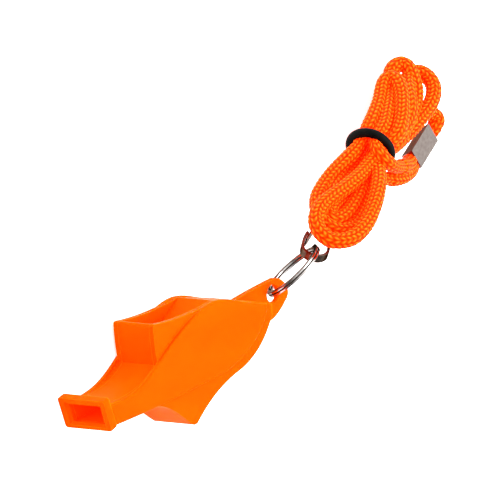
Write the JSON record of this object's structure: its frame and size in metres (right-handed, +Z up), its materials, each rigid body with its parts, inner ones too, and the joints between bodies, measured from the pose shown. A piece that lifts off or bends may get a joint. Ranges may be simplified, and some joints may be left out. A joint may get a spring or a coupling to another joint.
{
  "type": "lanyard whistle",
  "caption": "Pealess safety whistle with upper and lower sound chambers, a split ring, a sprung snap hook and a folded braided cord held by a rubber band and a crimped metal sleeve.",
  "frame": {"origin": "on the floor, under the middle of the box round the whistle, split ring and snap hook, with the whistle lying on its left side", "axes": "+Y from the mouth lip to the ring lug, +X from the whistle's back to its belly, +Z up through the whistle's width"},
  "size_m": [0.0572, 0.1332, 0.0209],
  "materials": {
    "whistle_plastic": "satin moulded",
    "ring_steel": "bright nickel plate",
    "hook_steel": "dark bronze reflections, polished",
    "cord": "tight round braid",
    "band_rubber": "soft matt",
    "sleeve_steel": "brushed sheet"
  },
  "bodies": {
    "whistle": {"left_side_shell": "whistle_plastic", "right_side_shell": "whistle_plastic", "upper_mouth_block": "whistle_plastic", "lower_mouth_block": "whistle_plastic", "breath_splitter": "whistle_plastic", "resonator_block": "whistle_plastic", "mouth_lip": "whistle_plastic"},
    "ring": {"split_ring": "ring_steel"},
    "hook": {"hook_frame": "hook_steel", "hook_rivet": "hook_steel"},
    "gate": {"hook_gate": "hook_steel"},
    "lanyard": {"cord_hank": "cord", "rubber_band": "band_rubber", "cord_eye_loop": "cord", "cord_sleeve_loop": "cord", "cord_inner_end": "cord", "cord_outer_end": "cord", "metal_sleeve": "sleeve_steel"}
  },
  "joints": [
    {"name": "ring_swing", "type": "hinge", "parent": "whistle", "child": "ring", "pos_m": [-0.00177, 0.0231, 0.0064], "axis": [0, 0, 1], "range_deg": [-45, 45]},
    {"name": "hook_swing", "type": "hinge", "parent": "ring", "child": "hook", "pos_m": [-0.0099, 0.03322, 0.01215], "axis": [0, 0, 1], "range_deg": [-2, 28]},
    {"name": "gate_hinge", "type": "hinge", "parent": "hook", "child": "gate", "pos_m": [-0.01307, 0.03806, 0.01003], "axis": [0.7902, 0.2781, -0.5461], "range_deg": [-6, 0], "stiffness_Nm_per_rad": 0.01, "springref_deg": 17.19},
    {"name": "lanyard_swing", "type": "hinge", "parent": "hook", "child": "lanyard", "pos_m": [-0.01509, 0.04149, 0.00884], "axis": [0, 0, 1], "range_deg": [-6, 6]}
  ]
}
